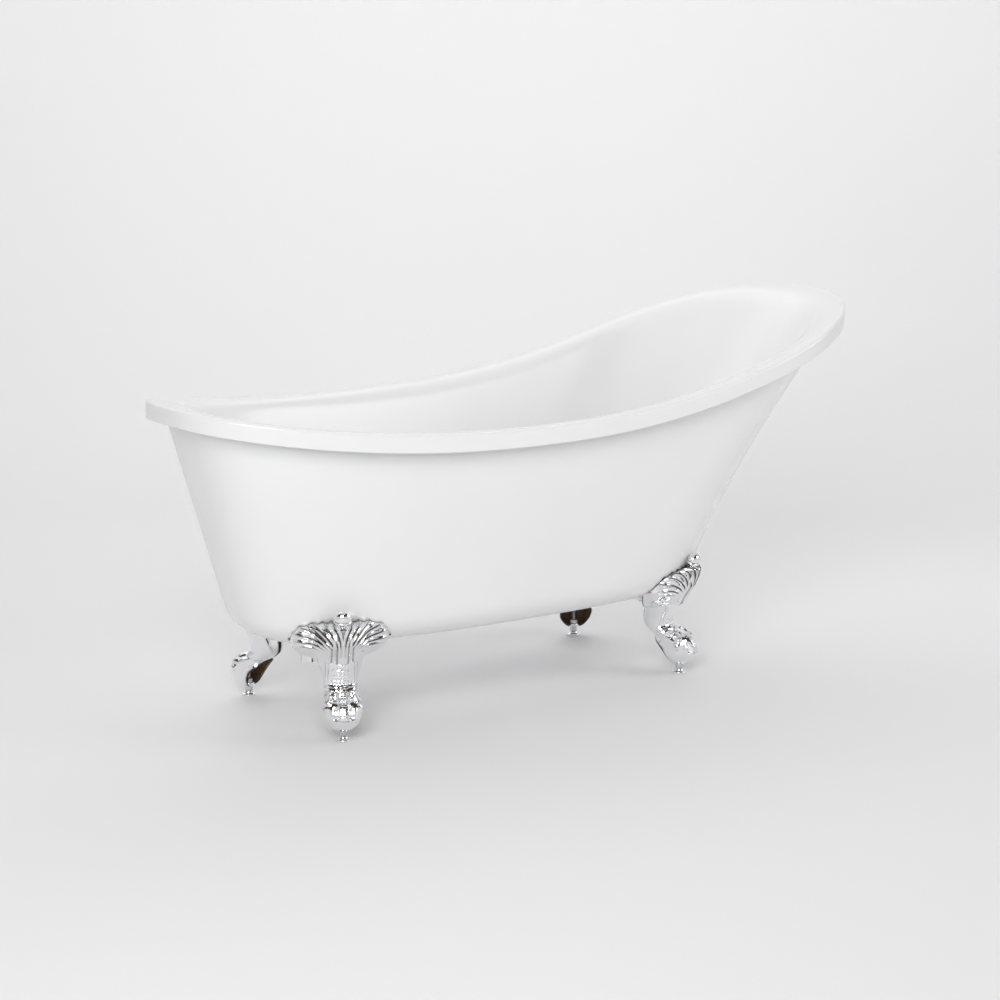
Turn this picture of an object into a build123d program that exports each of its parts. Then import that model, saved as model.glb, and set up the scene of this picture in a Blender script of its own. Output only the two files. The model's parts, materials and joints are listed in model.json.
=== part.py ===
from build123d import *
from math import atan2, copysign, cos, degrees, hypot, pi, radians, sin, sqrt
import os

os.makedirs("parts", exist_ok=True)

# Freestanding single-slipper bathtub on four ball-and-claw feet. Millimetres.
# Origin: middle of the length and width, on the floor. +X towards the high
# (slipper) end, -X towards the low (waste) end, +Y across, +Z up.

# ---- overall plan of the rim ----
LENGTH = 1700.0
WIDTH = 710.0
WIDEST_X = 440.0          # where the rim is widest
HIGH_END_POWER = 2.2      # roundness of the rim plan at the slipper end
LOW_END_POWER = 2.9       # squarer at the waste end

# ---- sheer: height of the rim top along the length ----
SHEER_LOW_X = -220.0      # lowest point of the rim
SHEER_LOW_Z = 631.0
SHEER_FOOT_RISE = 63.0    # rise from there to the low end
SHEER_BACK_RISE = 200.0   # rise from there to the slipper end
SHEER_BACK_SHAPE = (0.25, 2.16, -1.41)  # square, cube and fourth power

# ---- rim band and basin ----
BAND_HEIGHT = 38.0
SHELL = 6.0               # acrylic thickness of the inner shell
BAND_EDGE = 4.0           # edge radius of the band
BASIN_INSET_SIDE = 58.0
BASIN_INSET_LOW = 90.0
BASIN_INSET_HIGH = 64.0
RIM_ROLL = 14.0           # radius of the rim's inner edge
FLOOR_Z = 235.0           # top face of the basin floor
FLOOR_X_LOW = -640.0      # basin plan at the floor, before its corner radius
FLOOR_X_HIGH = 380.0
FLOOR_X_WIDEST = -50.0
FLOOR_HALF_WIDTH = 182.0
FLOOR_POWER = 2.5
FLOOR_CORNER = 70.0
BASIN_FLARE = 0.41        # how far the basin's slipper end curves out

# ---- outer skirt ----
SKIRT_SHELL = 5.0
SKIRT_INSET = 40.0        # skirt stands in from the band's face
UNDERSIDE_Z = 186.0
UNDERSIDE_X_LOW = -680.0
UNDERSIDE_X_HIGH = 420.0
UNDERSIDE_X_WIDEST = 10.0
UNDERSIDE_HALF_WIDTH = 242.0
UNDERSIDE_LOW_POWER = 2.6
UNDERSIDE_HIGH_POWER = 2.7
UNDERSIDE_CORNER = 60.0
SKIRT_FLARE = 0.67        # how far the skirt's slipper end curves out
SKIRT_WASTE_HOLE_R = 55.0
BOND_GAP = 0.2            # adhesive line between bonded pieces

# ---- base board and bearers ----
BOARD_THICK = 18.0
BOARD_INSET = 30.0
BEARER_WIDTH = 90.0
BEARER_LENGTH = 320.0
BEARER_SHIFT = 25.0       # from the bolts towards the slipper end
WASTE_SLOT_WIDTH = 84.0

# ---- feet ----
FOOT_X_LOW = -565.0       # pad centres
FOOT_X_HIGH = 320.0
FOOT_Y = 200.0
FOOT_TURN = 64.0          # each foot faces out at this angle from the length
BALL_R = 38.0
BALL_Z = 59.0
CASTING_WALL = 6.0
FOOT_HALF_WIDTH = 103.0
FOOT_WALL_GAP = 0.3       # crest to skirt
LUG_BACK = 116.0          # lug's reach behind the pad's axis
LUG_BOLT_BACK = 94.0
LUG_HALF_WIDTH = 30.0
LUG_TOP = 172.0
LUG_THICK = 7.0
BLOCK_SIZE = 62.0
BLOCK_RISE = 14.0         # follows the skirt's rounded edge this far up
BOLT_R = 5.0
BOLT_HOLE_R = 5.5
BOLT_HEAD_FLATS = 17.0
BOLT_HEAD_HEIGHT = 6.4
WASHER_R = 11.0
WASHER_THICK = 2.0
INSERT_R = 8.0
INSERT_HEIGHT = 14.0
INSERT_RISE = 6.0

# ---- levelling feet ----
STEM_R = 5.0
STEM_TOP = 78.0
RUNNING_GAP = 0.05
BOSS_BOTTOM = 21.0
BOSS_TOP = 31.0
BOSS_R = 12.0
COLLAR_BOTTOM = 11.4
COLLAR_TOP = 20.6
COLLAR_FLATS = 15.0
PAD_R = 15.5
PAD_EDGE = 4.5
PAD_TOP_R = 9.0
PAD_TOP = 11.0
SOCKET_FLOOR = 3.0
LOCK_NUT_FLATS = 17.0
LOCK_NUT_HEIGHT = 8.0

# ---- waste and overflow ----
WASTE_X = -524.0
THROAT_R = 18.5
THROAT_OUTER_R = 21.0
WASTE_FLANGE_R = 35.0
SEAL_THICK = 1.5
UNDER_SEAL_THICK = 4.0
FLANGE_THICK = 2.5
WASTE_BODY_R = 27.0
PIPE_Z = 205.0
PIPE_R = 12.0
PIPE_WALL = 2.0
PIPE_BEND = 70.0
TAIL_R = 20.0
TAIL_BOTTOM = 120.0
TAIL_STEP = 160.0
PLUG_R = 30.0
PLUG_STEM_R = 3.0
OVERFLOW_Z = 560.0
OVERFLOW_R = 34.0         # cover
OVERFLOW_HOLE_R = 24.0
OVERFLOW_HOUSING_R = 29.0
OVERFLOW_BORE_R = 22.0
WASTE_LIP_R = 36.0        # flange of the waste body under the floor
PLUG_LIFT_GAP = 1.6       # under the closed plug, filled by its seal
HOUSING_DEPTH = 18.0
SPIGOT_LENGTH = 52.0

OUTLINE_POINTS = 40
OUT = "parts"


# ---------------------------------------------------------------- curves
def power(value, exponent):
    """Signed power, for the superellipse outlines."""
    return copysign(abs(value) ** exponent, value)


def outline_point(angle, widest_x, x_low, x_high, half_width, low_power, high_power):
    """A point of an outline made of two superellipse halves."""
    reach, exponent = (x_high - widest_x, high_power)
    if cos(angle) < 0:
        reach, exponent = (widest_x - x_low, low_power)
    x = widest_x + reach * power(cos(angle), 2 / exponent)
    y = half_width * power(sin(angle), 2 / exponent)
    return x, y


def rim_point(angle, inset=0.0):
    """The rim's plan, moved in by inset."""
    half = LENGTH / 2 - inset
    return outline_point(
        angle, WIDEST_X, -half, half, WIDTH / 2 - inset, LOW_END_POWER, HIGH_END_POWER
    )


def rim_height(x):
    """Height of the rim's top at x: a parabola, then a rising curve."""
    if x < SHEER_LOW_X:
        part = (SHEER_LOW_X - x) / (SHEER_LOW_X + LENGTH / 2)
        return SHEER_LOW_Z + SHEER_FOOT_RISE * part**2
    part = (x - SHEER_LOW_X) / (LENGTH / 2 - SHEER_LOW_X)
    square, cube, fourth = SHEER_BACK_SHAPE
    return SHEER_LOW_Z + SHEER_BACK_RISE * (square * part**2 + cube * part**3 + fourth * part**4)


def even_angles():
    """Outline angles that space the rim's points evenly along its length."""
    steps = 4000
    lengths = [0.0]
    last = rim_point(0.0)
    for i in range(1, steps + 1):
        here = rim_point(2 * pi * i / steps)
        lengths.append(lengths[-1] + hypot(here[0] - last[0], here[1] - last[1]))
        last = here
    angles = []
    index = 0
    for k in range(OUTLINE_POINTS):
        while lengths[index] < lengths[-1] * k / OUTLINE_POINTS:
            index += 1
        angles.append(2 * pi * index / steps)
    return angles


ANGLES = even_angles()


def moved_in(points, distance):
    """Each point of a closed outline moved inwards by distance."""
    count = len(points)
    moved = []
    for i, (x, y) in enumerate(points):
        before, after = points[i - 1], points[(i + 1) % count]
        along_x, along_y = after[0] - before[0], after[1] - before[1]
        size = hypot(along_x, along_y)
        moved.append((x - distance * along_y / size, y + distance * along_x / size))
    return moved


def corner_inset(above, radius):
    """How far a rounded bottom corner draws the wall in, at a height above its base."""
    if above >= radius:
        return 0.0
    return radius - sqrt(max(radius**2 - (radius - above) ** 2, 0.0))


def wall_share(share, angle, flare):
    """Outward share of a wall at a share of its height; flare curves the slipper end."""
    curve = flare * cos(angle) ** 2 if cos(angle) > 0 else 0.0
    return (1 - curve) * share + curve * share**2


def skirt_section(z):
    """Plan of the skirt's outer face at height z."""
    points = []
    for angle in ANGLES:
        foot = outline_point(
            angle,
            UNDERSIDE_X_WIDEST,
            UNDERSIDE_X_LOW,
            UNDERSIDE_X_HIGH,
            UNDERSIDE_HALF_WIDTH,
            UNDERSIDE_LOW_POWER,
            UNDERSIDE_HIGH_POWER,
        )
        head = rim_point(angle, SKIRT_INSET)
        top = rim_height(head[0]) - BAND_HEIGHT
        share = wall_share((z - UNDERSIDE_Z) / (top - UNDERSIDE_Z), angle, SKIRT_FLARE)
        points.append((foot[0] + (head[0] - foot[0]) * share, foot[1] + (head[1] - foot[1]) * share))
    return points


def basin_inset(angle):
    """How far the basin's top edge stands in from the rim's outer edge."""
    end = BASIN_INSET_HIGH if cos(angle) > 0 else BASIN_INSET_LOW
    return BASIN_INSET_SIDE + (end - BASIN_INSET_SIDE) * cos(angle) ** 4


def basin_section(z):
    """Plan of the basin's inner face at height z."""
    points = []
    for angle in ANGLES:
        foot = outline_point(
            angle,
            FLOOR_X_WIDEST,
            FLOOR_X_LOW,
            FLOOR_X_HIGH,
            FLOOR_HALF_WIDTH,
            FLOOR_POWER,
            FLOOR_POWER,
        )
        head = rim_point(angle, basin_inset(angle))
        top = rim_height(head[0])
        share = wall_share((z - FLOOR_Z) / (top - FLOOR_Z), angle, BASIN_FLARE)
        points.append((foot[0] + (head[0] - foot[0]) * share, foot[1] + (head[1] - foot[1]) * share))
    return points


# ---------------------------------------------------------------- helpers
def section_face(points, z):
    """A flat face at height z inside a smooth closed curve through the points."""
    knots = [float(i) for i in range(len(points) + 1)]
    curve = Edge.make_spline([(x, y, z) for x, y in points], periodic=True, parameters=knots)
    return Face(Wire([curve]))


def bowl_solid(section, base_z, top_z, corner, inset):
    """A solid bowl: sections lofted up from a rounded bottom corner, moved in by inset."""
    low = base_z + inset
    radius = max(corner - inset, 1.0)
    turns = (0, 12, 26, 42, 62, 90)
    heights = [low + radius * (1 - cos(radians(turn))) for turn in turns]
    wall_steps = 6
    for i in range(1, wall_steps + 1):
        heights.append(low + radius + (top_z - low - radius) * i / wall_steps)
    faces = []
    for z in heights:
        drawn_in = inset + corner_inset(z - low, radius)
        faces.append(section_face(moved_in(section(z), drawn_in), z))
    return Solid.make_loft([face.outer_wire() for face in faces])


def below_sheer(drop):
    """Everything below the rim's top face lowered by drop."""
    reach = LENGTH / 2 + 60
    steps = 24
    points = []
    for i in range(steps + 1):
        x = -reach + 2 * reach * i / steps
        points.append((x, rim_height(x) - drop))
    top = Spline(*points)
    sides = Polyline(points[-1], (reach, -100), (-reach, -100), points[0])
    return Pos(0, WIDTH, 0) * extrude(Plane.XZ * make_face([top, *sides.edges()]), 2 * WIDTH)


def rim_prism(inset):
    """The rim's plan as an upright prism, moved in by inset."""
    points = moved_in([rim_point(angle) for angle in ANGLES], inset)
    return extrude(section_face(points, 0), 1000)


def ring(outer, inner, low, high, x=0.0, y=0.0):
    """An upright tube between two heights."""
    height = high - low
    solid = Cylinder(outer, height, align=(Align.CENTER, Align.CENTER, Align.MIN))
    solid -= Cylinder(inner, height, align=(Align.CENTER, Align.CENTER, Align.MIN))
    return Pos(x, y, low) * solid


def rod(radius, low, high, x=0.0, y=0.0):
    """An upright round bar between two heights."""
    bar = Cylinder(radius, high - low, align=(Align.CENTER, Align.CENTER, Align.MIN))
    return Pos(x, y, low) * bar


def hexagon(flats, low, high, x=0.0, y=0.0):
    """An upright hexagonal bar between two heights."""
    face = RegularPolygon(flats / 2, 6, major_radius=False)
    return Pos(x, y, low) * extrude(face, high - low)


def save(name, shape):
    """Writes one node."""
    shape.label = name
    export_step(shape, f"{OUT}/{name}.step")


# ---------------------------------------------------------------- tub
def skirt_body(inset):
    """The skirt's outer form, moved in by inset and reaching past the rim."""
    return bowl_solid(skirt_section, UNDERSIDE_Z, rim_height(LENGTH / 2) + 20, UNDERSIDE_CORNER, inset)


def basin_body(inset):
    """The basin's hollow; a negative inset gives the outside of its wall."""
    return bowl_solid(basin_section, FLOOR_Z, rim_height(LENGTH / 2) + 20, FLOOR_CORNER, inset)


def make_inner_shell():
    """Basin, rim and the band that hangs from it: one moulding."""
    wall = basin_body(-SHELL) & below_sheer(SHELL / 2)
    rim = (rim_prism(0) & below_sheer(0)) - below_sheer(BAND_HEIGHT)
    rim = fillet([edge for edge in rim.edges() if edge.length > WIDTH], BAND_EDGE)
    rim -= rim_prism(SHELL) & below_sheer(SHELL)
    shell = (rim + wall) - basin_body(0)
    shell = fillet([edge for edge in shell.edges() if is_mouth_edge(edge)], RIM_ROLL)
    shell -= rod(THROAT_OUTER_R + 1.5, FLOOR_Z - 20, FLOOR_Z + 5, WASTE_X)
    shell -= overflow_hole()
    return shell


def is_mouth_edge(edge):
    """True for the edges where the rim's top face meets the basin's wall."""
    if edge.length < WIDTH:
        return False
    on_top = all(abs((edge @ part).Z - rim_height((edge @ part).X)) < 0.05 for part in (0.1, 0.4, 0.7))
    return on_top and edge.bounding_box().max.X < LENGTH / 2 - BASIN_INSET_HIGH / 2


def make_outer_skirt():
    """Outer wall, tucked up inside the band and turned under at the bottom."""
    skirt = (skirt_body(0) - skirt_body(SKIRT_SHELL)) & below_sheer(SHELL + BOND_GAP)
    skirt &= rim_prism(SHELL + BOND_GAP)
    skirt -= rod(SKIRT_WASTE_HOLE_R, UNDERSIDE_Z - 5, UNDERSIDE_Z + 15, WASTE_X)
    for x, y, turn in foot_places():
        bolt_x, bolt_y = foot_point(x, y, turn, -LUG_BOLT_BACK)
        skirt -= rod(BOLT_HOLE_R, UNDERSIDE_Z - 5, UNDERSIDE_Z + 15, bolt_x, bolt_y)
    return skirt


def overflow_hole():
    """Round hole through the low end wall of the basin."""
    hole = Cylinder(OVERFLOW_HOLE_R, 10 * SHELL, rotation=(0, 90, 0))
    return Pos(overflow_face_x(), 0, OVERFLOW_Z) * hole


def overflow_face_x():
    """Where the basin's inner face crosses the overflow's height, on the centre line."""
    return min(x for x, _ in basin_section(OVERFLOW_Z))


# ---------------------------------------------------------------- feet
def foot_places():
    """Pad centre and facing direction of each foot, in the order of FOOT_NAMES."""
    places = []
    for x, along in ((FOOT_X_LOW, -1), (FOOT_X_HIGH, 1)):
        for across in (-1, 1):
            turn = degrees(atan2(across * sin(radians(FOOT_TURN)), along * cos(radians(FOOT_TURN))))
            places.append((x, across * FOOT_Y, turn))
    return places


FOOT_NAMES = ("front_left", "back_left", "front_right", "back_right")


def foot_point(x, y, turn, out):
    """Plan position of a point at distance out along a foot's facing direction."""
    return x + out * cos(radians(turn)), y + out * sin(radians(turn))


def foot_side_face(back_off, front_off):
    """Side view of the casting: distance out from the pad's axis, and height."""
    front = Spline(
        (34, 66),
        (17, 88),
        (-4, 96),
        (-16, 113),
        (-16, 130),
        (-9, 150),
        (8, 165),
        (27, 195),
        (41, 226),
        (41, 243),
        (34, 256),
    )
    front = Pos(-front_off, 0) * front
    start, end = front @ 0, front @ 1
    back = Polyline(
        end,
        (-60, 262),
        (-120, 190),
        (-80 - back_off, 170),
        (-79 - back_off, 120),
        (-52 - back_off, 86),
        (-26 - back_off, 60),
        start,
    )
    return make_face([*front.edges(), *back.edges()])


def foot_front_face(inset):
    """Front view of the casting: half width from its middle, and height."""
    crest = FOOT_HALF_WIDTH - inset
    right = [
        (23 - inset, 262),
        (70 - inset, 250),
        (crest, 222),
        (crest - 4, 196),
        (60 - inset, 180),
        (42 - inset, 162),
        (35 - inset, 140),
        (32 - inset, 112),
        (35 - inset, 88),
        (40 - inset, 66),
        (38 - inset, 50),
    ]
    left = [(-x, z) for x, z in reversed(right)]
    return make_face(Polyline(*right, *left, close=True).edges())


def casting_block(back_off, front_off, inset):
    """Side view and front view of the casting, each pushed through the other."""
    side = extrude(Plane.XZ * foot_side_face(back_off, front_off), 130, both=True)
    front = extrude(Plane.YZ * foot_front_face(inset), 140, both=True)
    return side & front


def foot_casting():
    """One foot about its pad's axis, facing +X: crest, leg, ball, lug and boss."""
    body = casting_block(0, 0, 0)
    body += Pos(0, 0, BALL_Z) * Sphere(BALL_R)
    hollow = casting_block(40, CASTING_WALL, CASTING_WALL)
    hollow += Pos(0, 0, BALL_Z) * Sphere(BALL_R - CASTING_WALL)
    body -= hollow
    open_back = Polyline((-12, 12), (-17, 43), (-30, 66), (-70, 66), (-70, 12), close=True)
    body -= extrude(Plane.XZ * make_face(open_back.edges()), 60, both=True)
    lug = Box(LUG_BACK - 20, 2 * LUG_HALF_WIDTH, LUG_THICK, align=(Align.MIN, Align.CENTER, Align.MAX))
    body += Pos(-LUG_BACK, 0, LUG_TOP) * lug
    body += rod(BOSS_R, BOSS_BOTTOM, BOSS_TOP)
    body -= rod(BOSS_R + 6, 0, BOSS_BOTTOM)
    body -= rod(STEM_R + RUNNING_GAP, 0, BOSS_TOP + 5)
    body -= rod(BOLT_HOLE_R, LUG_TOP - 20, LUG_TOP + 5, -LUG_BOLT_BACK)
    return body


def crest_finial():
    """Half-round finial that stands on the crest, leaning with the wall."""
    ball = Pos(36, 0, 268) * Sphere(14)
    neck = Pos(30, 0, 250) * Cylinder(9, 28)
    return ball + neck


def make_feet(skirt):
    """All four castings, each cut to sit against the skirt."""
    casting = foot_casting() + crest_finial()
    feet = []
    for x, y, turn in foot_places():
        placed = Pos(x, y, 0) * Rot(0, 0, turn) * casting
        feet.append(largest(placed - skirt))
    return feet


def largest(shape):
    """The largest solid of a shape."""
    pieces = shape if isinstance(shape, list) else shape.solids()
    return max(pieces, key=lambda solid: solid.volume)


def make_block(x, y, turn, skirt):
    """Moulded block between the skirt's underside and a foot's lug."""
    bolt_x, bolt_y = foot_point(x, y, turn, -LUG_BOLT_BACK)
    height = UNDERSIDE_Z - LUG_TOP + BLOCK_RISE
    block = Box(BLOCK_SIZE, BLOCK_SIZE, height, align=(Align.CENTER, Align.CENTER, Align.MIN))
    block = fillet(block.edges().filter_by(Axis.Z), 8)
    block -= Cylinder(BOLT_HOLE_R, 3 * height)
    return largest(Pos(bolt_x, bolt_y, LUG_TOP) * Rot(0, 0, turn) * block - skirt)


def bolt_centres():
    """Plan positions of the four fixing bolts."""
    return [foot_point(x, y, turn, -LUG_BOLT_BACK) for x, y, turn in foot_places()]


def make_foot_bolts():
    """One hexagon-head bolt per foot, up through lug, block, skirt and bearer."""
    washer_low = LUG_TOP - LUG_THICK - WASHER_THICK
    bolts = []
    for x, y in bolt_centres():
        bolt = hexagon(BOLT_HEAD_FLATS, washer_low - BOLT_HEAD_HEIGHT, washer_low, x, y)
        bolt += rod(BOLT_R, washer_low, UNDERSIDE_Z + 22, x, y)
        bolts.append(bolt)
    return Compound(bolts)


def make_foot_washers():
    """Flat washers under the bolt heads."""
    high = LUG_TOP - LUG_THICK
    return Compound([ring(WASHER_R, BOLT_HOLE_R, high - WASHER_THICK, high, x, y) for x, y in bolt_centres()])


def make_bolt_inserts():
    """Threaded inserts in the bearers that the bolts screw into."""
    low = UNDERSIDE_Z + SKIRT_SHELL + INSERT_RISE
    return Compound([ring(INSERT_R, BOLT_R, low, low + INSERT_HEIGHT, x, y) for x, y in bolt_centres()])


def make_stem(x, y):
    """Levelling screw: plain shank, hexagon collar under the ball, round lower end."""
    stem = rod(STEM_R, SOCKET_FLOOR + 0.3, STEM_TOP)
    stem += hexagon(COLLAR_FLATS, COLLAR_BOTTOM, COLLAR_TOP)
    return Pos(x, y, 0) * stem


def make_pad(x, y):
    """Round pad that the levelling screw turns in."""
    profile = Polyline(
        (0, 0), (PAD_R - 1, 0), (PAD_R, 1), (PAD_R, PAD_EDGE), (PAD_TOP_R, PAD_TOP - 2),
        (PAD_TOP_R, PAD_TOP), (0, PAD_TOP), close=True,
    )
    pad = revolve(Plane.XZ * make_face(profile.edges()), Axis.Z)
    pad -= rod(STEM_R + RUNNING_GAP, SOCKET_FLOOR, PAD_TOP + 1)
    return Pos(x, y, 0) * pad


def make_lock_nuts():
    """Nuts on the levelling screws, on top of the bosses inside the balls."""
    nuts = []
    for x, y, _ in foot_places():
        nut = hexagon(LOCK_NUT_FLATS, BOSS_TOP, BOSS_TOP + LOCK_NUT_HEIGHT, x, y)
        nuts.append(nut - rod(STEM_R + RUNNING_GAP, BOSS_TOP - 1, BOSS_TOP + 20, x, y))
    return Compound(nuts)


# ---------------------------------------------------------------- base
def board_top():
    """Top face of the base board, one bond line under the basin floor."""
    return FLOOR_Z - SHELL - BOND_GAP


def make_base_board():
    """Board that carries the basin floor, cut out round the waste and its pipe."""
    low = board_top() - BOARD_THICK
    points = moved_in(basin_section(FLOOR_Z), BOARD_INSET)
    board = extrude(section_face(points, low), BOARD_THICK)
    board -= rod(WASTE_SLOT_WIDTH / 2, low - 5, low + 40, WASTE_X)
    slot = Box(400, WASTE_SLOT_WIDTH, 60, align=(Align.MAX, Align.CENTER, Align.CENTER))
    board -= Pos(WASTE_X, 0, low) * slot
    return board


def make_bearers():
    """Two cross bearers between the skirt's bottom and the base board."""
    skirt = skirt_body(0) - skirt_body(SKIRT_SHELL + BOND_GAP)
    low = UNDERSIDE_Z + SKIRT_SHELL - 1
    high = board_top() - BOARD_THICK - BOND_GAP
    insert_top = UNDERSIDE_Z + SKIRT_SHELL + INSERT_RISE + INSERT_HEIGHT
    centres = bolt_centres()
    bearers = []
    for x in sorted({round(place[0], 3) for place in centres}):
        bearer = Box(BEARER_WIDTH, BEARER_LENGTH, high - low, align=(Align.CENTER, Align.CENTER, Align.MIN))
        bearer = Pos(x + BEARER_SHIFT, 0, low) * bearer
        for bolt_x, bolt_y in centres:
            bearer -= rod(INSERT_R, low, insert_top, bolt_x, bolt_y)
            bearer -= rod(BOLT_HOLE_R, low, high, bolt_x, bolt_y)
        bearer -= rod(WASTE_BODY_R + 12, low - 1, high + 1, WASTE_X)
        bearers.append(largest(bearer - skirt))
    return bearers


# ---------------------------------------------------------------- waste
def make_waste_flange():
    """Dished flange in the basin floor, its throat and the guide for the plug."""
    seat = FLOOR_Z + SEAL_THICK
    flange = ring(WASTE_FLANGE_R, THROAT_R, seat, seat + FLANGE_THICK, WASTE_X)
    flange += ring(THROAT_OUTER_R, THROAT_R, TAIL_STEP + 20, seat + 1, WASTE_X)
    guide_low = FLOOR_Z - 34
    hub = rod(7, guide_low, guide_low + 12, WASTE_X)
    for i in range(3):
        bar = Box(THROAT_R + 1, 3, 4, align=(Align.MIN, Align.CENTER, Align.MIN))
        hub += Pos(WASTE_X, 0, guide_low) * Rot(0, 0, 120 * i + 60) * bar
    flange += hub
    return flange - rod(PLUG_STEM_R + RUNNING_GAP, guide_low - 1, guide_low + 20, WASTE_X)


def make_waste_seal():
    """Rubber ring between the flange and the basin floor."""
    return ring(WASTE_FLANGE_R - 2, THROAT_OUTER_R + 1, FLOOR_Z, FLOOR_Z + SEAL_THICK, WASTE_X)


def make_under_seal():
    """Rubber ring between the basin floor's underside and the waste body."""
    high = FLOOR_Z - SHELL
    return ring(WASTE_LIP_R, THROAT_OUTER_R + 0.5, high - UNDER_SEAL_THICK, high, WASTE_X)


def sideways(radius, length):
    """A round bar from the origin towards the low end."""
    return Cylinder(radius, length, align=(Align.CENTER, Align.CENTER, Align.MIN), rotation=(0, -90, 0))


def make_waste_body():
    """Body under the floor, with the overflow's inlet at its side."""
    high = FLOOR_Z - SHELL - UNDER_SEAL_THICK
    body = rod(WASTE_LIP_R, high - 5, high, WASTE_X) + rod(WASTE_BODY_R, TAIL_STEP + 14, high, WASTE_X)
    body += Pos(WASTE_X - 18, 0, PIPE_Z) * sideways(PIPE_R + 4, 34)
    body -= rod(THROAT_OUTER_R + 0.2, TAIL_STEP + 19, high + 1, WASTE_X)
    body -= rod(TAIL_R - 0.5, TAIL_STEP, TAIL_STEP + 30, WASTE_X)
    body -= Pos(WASTE_X - 34, 0, PIPE_Z) * sideways(PIPE_R + 0.2, 24)
    return body - Pos(WASTE_X - 12, 0, PIPE_Z) * sideways(PIPE_R - PIPE_WALL, 30)


def make_tail_nut():
    """Nut that holds the tailpiece up against the waste body."""
    return ring(WASTE_BODY_R + 2, TAIL_R - 0.4, TAIL_STEP, TAIL_STEP + 14, WASTE_X)


def make_tailpiece():
    """Outlet pipe: full diameter below the nut, a little smaller inside it."""
    tail = rod(TAIL_R, TAIL_BOTTOM, TAIL_STEP, WASTE_X)
    tail += rod(TAIL_R - 0.6, TAIL_STEP, TAIL_STEP + 18, WASTE_X)
    return tail - rod(TAIL_R - 3, TAIL_BOTTOM - 1, TAIL_STEP + 20, WASTE_X)


def make_plug():
    """Domed plug on its guide stem; it lifts out of the flange to open."""
    low = FLOOR_Z + SEAL_THICK + FLANGE_THICK + PLUG_LIFT_GAP
    shoulder = [(PLUG_R, low), (PLUG_R, low + 2), (PLUG_R - 5, low + 5)]
    dome = Polyline((0, low), *shoulder, (0, low + 6), close=True)
    plug = revolve(Plane.XZ * make_face(dome.edges()), Axis.Z)
    plug += rod(PLUG_STEM_R, FLOOR_Z - 46, low)
    return Pos(WASTE_X, 0, 0) * plug


def make_plug_seal():
    """Rubber ring under the plug."""
    low = FLOOR_Z + SEAL_THICK + FLANGE_THICK + 0.1
    return ring(PLUG_R - 3, THROAT_OUTER_R + 0.5, low, low + PLUG_LIFT_GAP - 0.1, WASTE_X)


def overflow_frame():
    """Position on the low end wall, with its X pointing out of the basin."""
    below = min(x for x, _ in basin_section(OVERFLOW_Z - 20))
    above = min(x for x, _ in basin_section(OVERFLOW_Z + 20))
    lean = degrees(atan2(below - above, 40))
    return Pos(overflow_face_x(), 0, OVERFLOW_Z) * Rot(0, -lean, 0)


def along_x(radius, start, end):
    """A round bar along X from start to end."""
    bar = Cylinder(radius, end - start, align=(Align.CENTER, Align.CENTER, Align.MIN), rotation=(0, 90, 0))
    return Pos(start, 0, 0) * bar


def make_overflow_cover():
    """Round cover inside the basin, with a slot under its lower edge."""
    cover = along_x(OVERFLOW_R, 1.7, 9) - along_x(OVERFLOW_R - 2.5, 1.7, 6.5)
    cover -= Pos(4, 0, -OVERFLOW_R) * Box(8, 30, 12)
    cover += along_x(4, -18, 8)
    return overflow_frame() * cover


def make_overflow_seal():
    """Rubber ring behind the basin wall."""
    disc = along_x(OVERFLOW_HOUSING_R, -SHELL - 4.3, -SHELL - 0.8)
    return overflow_frame() * (disc - along_x(OVERFLOW_BORE_R, -SHELL - 5, -SHELL))


def make_overflow_housing():
    """Shallow cup behind the basin wall, with a spigot down to the pipe."""
    back = -SHELL - 4.5
    cup = along_x(OVERFLOW_HOUSING_R, back - HOUSING_DEPTH, back)
    cup -= along_x(OVERFLOW_HOLE_R, back - HOUSING_DEPTH + 3, back + 1)
    cup += along_x(9, back - HOUSING_DEPTH, back - 6) - along_x(4.2, back - HOUSING_DEPTH, back)
    spigot_x = back - 10
    down = Pos(spigot_x, 0, -SPIGOT_LENGTH)
    cup += down * Cylinder(PIPE_R - PIPE_WALL - 0.2, SPIGOT_LENGTH)
    cup -= down * Cylinder(PIPE_R - PIPE_WALL - 2, SPIGOT_LENGTH + 20)
    return overflow_frame() * cup


def pipe_path():
    """Centre line of the overflow pipe: down between the shells, then in to the body."""
    start = (overflow_frame() * Pos(-SHELL - 14.5, 0, -36)).position
    toward = (overflow_frame() * Pos(-SHELL - 14.5, 0, -60)).position - start
    drop = (PIPE_Z - start.Z) / toward.Z
    corner = start + toward * drop
    end = Vector(WASTE_X - 35, 0, PIPE_Z)
    return start, corner, end


def make_overflow_pipe():
    """Overflow pipe in one bend."""
    start, corner, end = pipe_path()
    path = FilletPolyline(start, corner, end, radius=PIPE_BEND)
    ring_face = Plane(start, z_dir=path % 0) * (Circle(PIPE_R) - Circle(PIPE_R - PIPE_WALL))
    return sweep(ring_face, path)


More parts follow.
